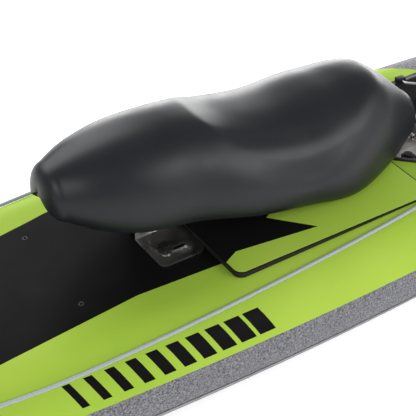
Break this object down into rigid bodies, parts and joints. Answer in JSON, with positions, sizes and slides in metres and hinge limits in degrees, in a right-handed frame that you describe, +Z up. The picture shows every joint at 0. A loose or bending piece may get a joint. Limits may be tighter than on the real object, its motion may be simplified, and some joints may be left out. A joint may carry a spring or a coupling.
{
  "type": "inflatable kayak",
  "caption": "Long narrow inflatable hull with rounded rails, a raised deck console, a stern bay and a padded sit-astride saddle on sliding brackets.",
  "frame": {"origin": "on the surface the hull lies on, under its widest station and on its centre plane", "axes": "+X towards the bow, +Y to port, +Z up"},
  "size_m": [2.7247, 0.5548, 0.4332],
  "materials": {
    "hull_pvc": "heather grey speckled laminated PVC",
    "deck_lime": "glossy printed PVC skin, lime green with black panels",
    "tape": "matte welded tape",
    "black_rubber": "matte black rubber",
    "console_lime": "glossy lime green moulded panel",
    "black_plastic": "matte black moulded plastic",
    "stainless": "brushed stainless steel",
    "vinyl": "soft satin black marine vinyl",
    "foam": "open-cell cushion foam",
    "rope": "light grey twisted polyester line",
    "valve_plastic": "matte charcoal plastic",
    "plunger_plastic": "off-white plastic",
    "webbing": "black polyester webbing",
    "grip": "soft ribbed rubber"
  },
  "bodies": {
    "hull": {"hull_chamber": "hull_pvc", "deck_skin": "deck_lime", "rail_seam_tapes": "tape", "keel_strips": "black_rubber", "console_base": "black_rubber", "console_panel": "console_lime", "stern_bay_tray": "black_plastic", "stud_plates": "stainless", "mount_studs": "stainless", "knob_washers": "stainless", "deck_line_port": "rope", "deck_line_starboard": "rope", "deck_line_eyes": "stainless", "deck_line_knots": "rope", "accessory_inserts": "black_plastic", "bail_blocks": "black_plastic", "bay_screws": "stainless", "valve_body": "valve_plastic", "valve_seat": "valve_plastic", "valve_spring": "stainless", "valve_hinge_pin": "stainless", "bow_handle_strap": "webbing", "bow_handle_grip": "grip", "stern_handle_strap": "webbing", "stern_handle_grip": "grip", "tow_ring_patch": "black_rubber", "bow_bumper": "black_rubber"},
    "saddle": {"saddle_cover": "vinyl", "saddle_foam": "foam", "saddle_pan": "black_plastic", "front_post": "black_plastic", "rear_post": "black_plastic", "front_bracket_port": "stainless", "front_bracket_starboard": "stainless", "rear_bracket_port": "stainless", "rear_bracket_starboard": "stainless", "bracket_bolts": "stainless", "bracket_nuts": "stainless"},
    "knob_front_port": {"knob_front_port": "black_plastic"},
    "knob_front_starboard": {"knob_front_starboard": "black_plastic"},
    "knob_rear_port": {"knob_rear_port": "black_plastic"},
    "knob_rear_starboard": {"knob_rear_starboard": "black_plastic"},
    "bail": {"bail_handle": "stainless"},
    "valve_plunger_body": {"valve_plunger": "plunger_plastic"},
    "valve_cap_body": {"valve_cap": "valve_plastic"},
    "tow_ring_body": {"tow_ring": "stainless"}
  },
  "joints": [
    {"name": "saddle_slide", "type": "slide", "parent": "hull", "child": "saddle", "axis": [1, 0, 0], "range_m": [0, 0.035]},
    {"name": "knob_turn_front_port", "type": "hinge", "parent": "hull", "child": "knob_front_port", "pos_m": [0.266, 0.066, 0.206], "axis": [0, 0, 1], "continuous": true},
    {"name": "knob_turn_front_starboard", "type": "hinge", "parent": "hull", "child": "knob_front_starboard", "pos_m": [0.266, -0.066, 0.206], "axis": [0, 0, 1], "continuous": true},
    {"name": "knob_turn_rear_port", "type": "hinge", "parent": "hull", "child": "knob_rear_port", "pos_m": [-0.299, 0.038, 0.155], "axis": [0, 0, 1], "continuous": true},
    {"name": "knob_turn_rear_starboard", "type": "hinge", "parent": "hull", "child": "knob_rear_starboard", "pos_m": [-0.299, -0.038, 0.155], "axis": [0, 0, 1], "continuous": true},
    {"name": "bail_swing", "type": "hinge", "parent": "hull", "child": "bail", "pos_m": [-0.418, 0, 0.2086], "axis": [0, 1, 0], "range_deg": [0, 100]},
    {"name": "valve_press", "type": "slide", "parent": "hull", "child": "valve_plunger_body", "axis": [0, 0, -1], "range_m": [0, 0.006], "stiffness_N_per_m": 900, "springref_m": -0.002, "deforming": ["valve_spring"]},
    {"name": "valve_cap_hinge", "type": "hinge", "parent": "hull", "child": "valve_cap_body", "pos_m": [-0.913, 0, 0.206], "axis": [0, -1, 0], "range_deg": [0, 95]},
    {"name": "tow_ring_swing", "type": "hinge", "parent": "hull", "child": "tow_ring_body", "pos_m": [1.41784, 0, 0.29107], "axis": [0, -1, 0], "range_deg": [0, 150]}
  ]
}
